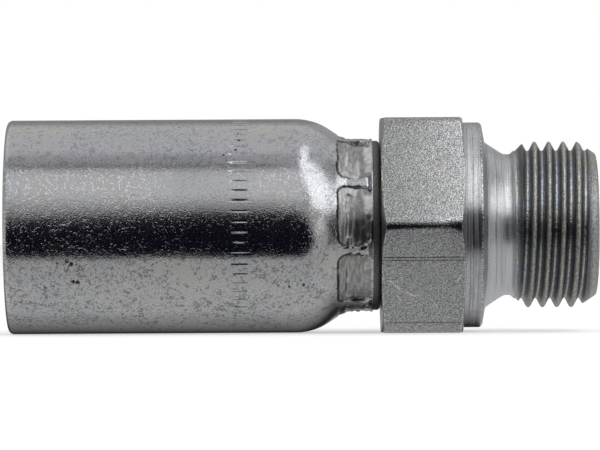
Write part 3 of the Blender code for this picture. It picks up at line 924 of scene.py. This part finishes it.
# The layers of the finish from the grain up, the turned faces paler than the pebbled hexagon
dark_grain = nodes.tinted(turned, (0.185, 0.19, 0.195), (0.42, 0.425, 0.435))
light_grain = nodes.tinted(turned, (0.52, 0.525, 0.53), (0.62, 0.625, 0.64))
end_color = nodes.tinted(grain["Grit"], (0.26, 0.245, 0.225), (0.52, 0.50, 0.465))
crest_color = nodes.tinted(grain["Grit"], (0.22, 0.22, 0.205), (0.64, 0.64, 0.60))
glint = nodes.tinted(fade(stain["Cloud"], 0.45, 0.6), (0.35, 0.42, 0.55), (0.60, 0.60, 0.36))
color = nodes.layered(
    nodes.tinted(grain["Grit"], dark_grain, light_grain),
    (times(fade(stain["Cloud"], 0.42, 0.62), 0.25), (0.33, 0.335, 0.34)),
    (times(grain["Fleck"], 0.5), (0.22, 0.225, 0.22)),
    # painted glints: bright sparks over the hexagon's pebbled faces
    (times(grain["Spark"], times(blasted, 0.3)), (0.95, 0.95, 0.95)),
    (times(hairs, 0.35), (0.30, 0.30, 0.30)),
    (times(scratches, times(blasted, 0.6)), (0.62, 0.62, 0.63)),
    (scratched, (0.90, 0.90, 0.90)),
    (times(pits, 0.7), (0.12, 0.115, 0.11)),
    (times(fade(lines, 0.50, 0.62), times(turned, 0.4)), (0.24, 0.245, 0.26)),
    (times(fade(fine_lines, 0.58, 0.68), times(turned, 0.7)), (0.80, 0.81, 0.84)),
    (flange_dark_band, (0.04, 0.04, 0.05)),
    (times(on_flange, 0.15), (0.72, 0.73, 0.76)),
    (taper_underside_light, (0.66, 0.68, 0.71)),
    (times(drawn, 0.8), (0.06, 0.06, 0.06)),
    (times(worn, fade(grain["Height"], 0.50, 0.60)), (0.85, 0.85, 0.86)),
    (times(worn, fade(grain["Height"], 0.46, 0.38)), (0.12, 0.12, 0.12)),
    (times(at_end, 0.8), end_color),
    # painted shade: the thread's flanks are painted dark
    (times(flank, 0.85), (0.11, 0.11, 0.115)),
    (times(crest, 0.9), crest_color),
    (times(root, 0.25), glint),
)
roughness = plus(
    0.20,
    times(grain["Cloud"], 0.10),
    times(turned, 0.04),
    times(crest, 0.25),
    times(corner, -0.06),
)
rough_face = times(larger(blasted, times(crest, 0.7)), minus(1, times(corner, 0.6)))
ridged = times(turned, minus(1, times(on_neck, 0.6)))
height = plus(
    times(grain["Height"], rough_face, 0.060),
    times(grain["Height"], 0.014),
    times(fade(lines, 0.50, 0.58), 0.05, ridged),
    times(lines, ridged, 0.12),
    times(fine_lines, ridged, 0.05),
    times(hairs, -0.008),
    times(pits, -0.015),
)
finish_zinc(nodes, color, roughness, height)



# Thread. A left-hand looking male pipe thread, rolled on the stem, with rounded crests and roots,
# cut back by a short lead-in cone and by the chamfer at the stem's end. One ridge, wound by rule.
THREAD_FLANK_ANGLE = math.radians(27.5)
THREAD_END_ANGLE = math.radians(33)
THREAD = {
    "Pitch": 1.814,
    "Major": 10.4775,
    "Root": THREAD_ROOT,
    "Round": 0.249,
    "Flank": math.tan(THREAD_FLANK_ANGLE),
    "First Crest": 62.022,
    "Start": THREAD_START,
    "Stop": THREAD_STOP,
    "Lead End": 65.235,
    "End Slope": math.tan(THREAD_END_ANGLE),
    "End Radius": THREAD_LIP,
    "Hand": -1.0,
    "Turns": 8,
    "Columns": STEM_COLUMNS,
    "Steps": 16,
}


def thread_tree():
    """Winds a strip one pitch wide up the stem. Its rows run over a crest, from root to root."""
    tree, nodes, given, out = geometry_tree("pipe_thread", THREAD)
    calc, times, plus, minus, ratio, larger, fade = nodes.words()

    along = plus(times(given["Turns"], given["Columns"]), 1)
    across = plus(given["Steps"], 1)
    grid = {"Size X": given["Pitch"], "Size Y": given["Turns"]}
    grid |= {"Vertices X": across, "Vertices Y": along}
    skin = nodes.add("GeometryNodeMeshGrid", grid).outputs["Mesh"]
    x, y, _ = nodes.split(nodes.out("GeometryNodeInputPosition"))
    turns = plus(y, ratio(given["Turns"], 2))
    off_crest = calc("ABSOLUTE", x)

    # The rounded form: an arc over the crest, a straight flank, and an arc in the root
    lead = times(turns, given["Pitch"])
    height = plus(given["First Crest"], lead, x)
    height = calc("MINIMUM", larger(height, given["Start"]), given["Stop"])
    square = times(given["Round"], given["Round"])
    crest_fall = minus(square, times(off_crest, off_crest))
    crest_arc = calc("SQRT", larger(crest_fall, 0))
    crest = plus(minus(given["Major"], given["Round"]), crest_arc)
    off_root = minus(ratio(given["Pitch"], 2), off_crest)
    root_fall = minus(square, times(off_root, off_root))
    root_arc = calc("SQRT", larger(root_fall, 0))
    root = minus(plus(given["Root"], given["Round"]), root_arc)
    half_pitch = ratio(given["Pitch"], 4)
    middle = ratio(plus(given["Major"], given["Root"]), 2)
    flank = plus(middle, ratio(minus(half_pitch, off_crest), given["Flank"]))
    bend = times(given["Round"], math.cos(THREAD_FLANK_ANGLE))
    on_crest = calc("LESS_THAN", off_crest, bend)
    in_root = calc("LESS_THAN", off_root, bend)
    form = flank
    for mask, other in ((on_crest, crest), (in_root, root)):
        mix = {"Factor": mask, "A": form, "B": other}
        form = nodes.add("ShaderNodeMix", mix).outputs["Result"]

    # The cones that cut it back at both ends
    lead_in = plus(given["Major"], minus(height, given["Lead End"]))
    cut = larger(given["Root"], calc("MINIMUM", form, lead_in))
    to_stop = minus(given["Stop"], height)
    chamfer = plus(given["End Radius"], times(to_stop, given["End Slope"]))
    radius = calc("MINIMUM", cut, chamfer)

    angle = times(turns, 2 * math.pi, given["Hand"])
    side = times(radius, calc("SINE", angle))
    rise = times(radius, times(calc("COSINE", angle), -1))
    point = nodes.out("ShaderNodeCombineXYZ", {0: height, 1: side, 2: rise})
    scaled = nodes.out("ShaderNodeVectorMath", {0: point, "Scale": MM}, operation="SCALE")
    placed = nodes.vector("ADD", scaled, given["Place"])
    crest_mask = calc("SUBTRACT", 2, ratio(minus(given["Major"], radius), 0.16), True)
    root_mask = calc("SUBTRACT", 1.5, ratio(minus(radius, given["Root"]), 0.12), True)
    from_flank = calc("ABSOLUTE", minus(radius, middle))
    flank_mask = calc("SUBTRACT", 1.6, ratio(from_flank, 0.3), True)
    for name, mask in (("crest", crest_mask), ("flank", flank_mask), ("root", root_mask)):
        settings = {"Geometry": skin, "Name": name, "Value": mask}
        skin = nodes.out("GeometryNodeStoreNamedAttribute", settings)
    skin = nodes.out("GeometryNodeSetPosition", {"Geometry": skin, "Position": placed})
    skin = nodes.out("GeometryNodeMergeByDistance", {"Geometry": skin, "Distance": WELD_DISTANCE})
    finish_skin(nodes, skin, given["Material"], out)
    return tree


wound = THREAD | {"Place": (mouth_x, 0.0, axis_z), "Material": stem_zinc}
thread_mesh = made_by("thread", thread_tree(), wound)
whole = bmesh.new()
whole.from_mesh(stem_mesh)
whole.from_mesh(thread_mesh)
whole.to_mesh(stem_mesh)
whole.free()
face_outwards(stem_mesh)
stem_mesh.materials.append(stem_zinc)
stem = new_object("stem", stem_mesh)
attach(stem, "root")
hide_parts("threaded_stem")


# Studio. A pale floor in a white room, soft boxes above and to the right, and glowing cards that
# only reflections see, painted reflections: the black ones paint dark bands into the bright metal,
# the others its grey and bright parts.
ROOM_LIGHT = 0.45
FLOOR_COLOR = (0.80, 0.80, 0.80)
FLOOR_GLOW = 0.50
# The floor's glow in reflections changes with the distance from below the axis: from, to, and the
# glow at each. Low near the axis, it is a painted shadow of the fitting in reflections. The second
# ramp is taken from the first, which has a least glow past the flange.
FLOOR_RAMPS = ((0.0016, 0.0078, 0.03, 0.60), (0.012, 0.020, 0.0, 0.09))
FLANGE_PLACE = 0.0225
GLOW_PAST_FLANGE = 0.58
SOFT_BOX_DISTANCE = 1.1
SOFT_BOXES = (
    # name, side from the camera in degrees, height in degrees, width, length, brightness
    ("key", 52, 48, 0.62, 1.0, 1.25),
    ("front", -14, 46, 1.1, 0.70, 0.34),
    ("overhead", 0, 111.5, 2.0, 1.14, 0.24),
)
# Cards stand square to the camera at a depth (y) or lie flat at a height (z). Each has that place
# and its outline, in millimetres, under its material and glow.
FLOOR_CARD = ((-60, -26.5), (0.8, -26.5), (6, -27.2), (12.4, -31.2), (23, -41), (36, -61))
FLOOR_CARD += ((57, -90), (-120, -90))
FRONT_CARD = ((-120, 0), (58, 0), (47, 10), (41, 19), (33, 28), (6, 33), (-3, 41), (-21, 37))
FRONT_CARD += ((-38, 30), (-120, 28))
SIDE_CARD = ((52, 48), (130, 52), (400, 100), (700, 160), (700, 400), (30, 400), (30, 190))
SIDE_CARD += ((38, 100),)
CARDS = {
    ("black_card", (0.006, 0.006, 0.012)): {
        "floor_card": ("z", 0.4, FLOOR_CARD),
        "front_card": ("y", -90, FRONT_CARD),
        "flange_dark": ("y", -20, ((19.5, 4.5), (23.3, 4.5), (23.3, 18.0), (19.5, 18.0))),
        "thread_dark": ("y", -20, ((26.3, 4.5), (42, 4.5), (42, 17.5), (26.3, 17.5))),
        "upper_card": ("z", 80, ((-90, -36.2), (-2, -36.2), (-2, -32.4), (-90, -32.4))),
    },
    ("grey_card", (0.34, 0.34, 0.36)): {
        "groove_card": ("y", -22, ((23.3, 2), (26.5, 2), (26.5, 20), (23.3, 20))),
    },
    ("back_card", (0.30, 0.29, 0.285)): {
        "back_card": ("y", 300, ((-400, 0), (40, 0), (40, 210), (-400, 210))),
    },
    ("pale_card", (1.1, 1.1, 1.1)): {
        "spot_card": ("y", -89, ((72, 0), (100, 0), (100, 26), (72, 26))),
    },
    ("white_card", (1.7, 1.7, 1.7)): {
        "flange_card": ("y", -40, ((21.2, 27), (60, 27), (60, 100), (21.2, 100))),
        "side_card": ("y", -90, SIDE_CARD),
        "top_card": ("z", 400, ((40, -90), (120, -90), (120, 40), (60, 40))),
    },
}

world = bpy.data.worlds.new("studio")
world.use_nodes = True
bpy.context.scene.world = world
bpy.context.scene.view_settings.view_transform = "Standard"
nodes = Nodes(world.node_tree)
background = world.node_tree.nodes["Background"]
background.inputs["Color"].default_value = (1, 1, 1, 1)
seen = nodes.add("ShaderNodeLightPath").outputs["Is Camera Ray"]
room = nodes.add("ShaderNodeMix", {"Factor": seen, "A": ROOM_LIGHT, "B": 1.0}).outputs["Result"]
nodes.feed(room, background.inputs["Strength"])


def stage_material(name):
    material = bpy.data.materials.new(name)
    material.use_nodes = True
    material.node_tree.nodes.clear()
    return material, Nodes(material.node_tree)


floor_material, nodes = stage_material("pale_floor")
pale = nodes.out("ShaderNodeBsdfDiffuse", {"Color": (*FLOOR_COLOR, 1)})
light_path = nodes.add("ShaderNodeLightPath").outputs
glow_strength = nodes.times(light_path["Is Camera Ray"], FLOOR_GLOW)
glow = nodes.out("ShaderNodeEmission", {"Strength": glow_strength})
lit = nodes.out("ShaderNodeAddShader", {0: pale, 1: glow})
# painted shadow: in reflections the floor glows by the ramps, dimmer near the axis
x, y, _ = nodes.split(nodes.add("ShaderNodeTexCoord").outputs["Object"])
from_axis = nodes.math("ABSOLUTE", y)
ramp_ends = ("From Min", "From Max", "To Min", "To Max")
rising, falling = (
    nodes.out("ShaderNodeMapRange", {"Value": from_axis} | dict(zip(ramp_ends, ramp)))
    for ramp in FLOOR_RAMPS
)
past_flange = nodes.math("GREATER_THAN", x, FLANGE_PLACE)
rising = nodes.larger(rising, nodes.times(past_flange, GLOW_PAST_FLANGE))
mirrored = nodes.out("ShaderNodeEmission", {"Strength": nodes.minus(rising, falling)})
surface = nodes.out("ShaderNodeMixShader", {0: light_path["Is Glossy Ray"], 1: lit, 2: mirrored})
nodes.add("ShaderNodeOutputMaterial", {"Surface": surface})


def card_material(name, color):
    material, nodes = stage_material(name)
    glow = nodes.out("ShaderNodeEmission", {"Color": (*color, 1)})
    nodes.add("ShaderNodeOutputMaterial", {"Surface": glow})
    return material


def stage_plane(name, corners, material):
    mesh = bpy.data.meshes.new(name)
    mesh.from_pydata(corners, [], [tuple(range(len(corners)))])
    mesh.materials.append(material)
    plane = new_object(name, mesh)
    return plane


stage_plane("floor", [(-3, -3, 0), (3, -3, 0), (3, 3, 0), (-3, 3, 0)], floor_material)
for (label, glow_color), cards in CARDS.items():
    material = card_material(label, glow_color)
    for name, (axis, level, outline) in cards.items():
        corners = [(x, level, z) if axis == "y" else (x, z, level) for x, z in outline]
        corners = [tuple(MM * value for value in corner) for corner in corners]
        card = stage_plane(name, corners, material)
        card.visible_camera = False
        card.visible_diffuse = False
        card.visible_shadow = False

for name, side, rise, width, length, brightness in SOFT_BOXES:
    lamp = bpy.data.lights.new(name, "AREA")
    lamp.shape = "RECTANGLE"
    lamp.size = width
    lamp.size_y = length
    lamp.energy = brightness * math.pi * width * length
    box = new_object(name, lamp)
    turn, lift = math.radians(side), math.radians(rise)
    box.rotation_euler = (math.pi / 2 - lift, 0, turn)
    box.location = (
        SOFT_BOX_DISTANCE * math.cos(lift) * math.sin(turn),
        -SOFT_BOX_DISTANCE * math.cos(lift) * math.cos(turn),
        SOFT_BOX_DISTANCE * math.sin(lift),
    )
    box.visible_camera = False
    box.visible_glossy = name != "key"
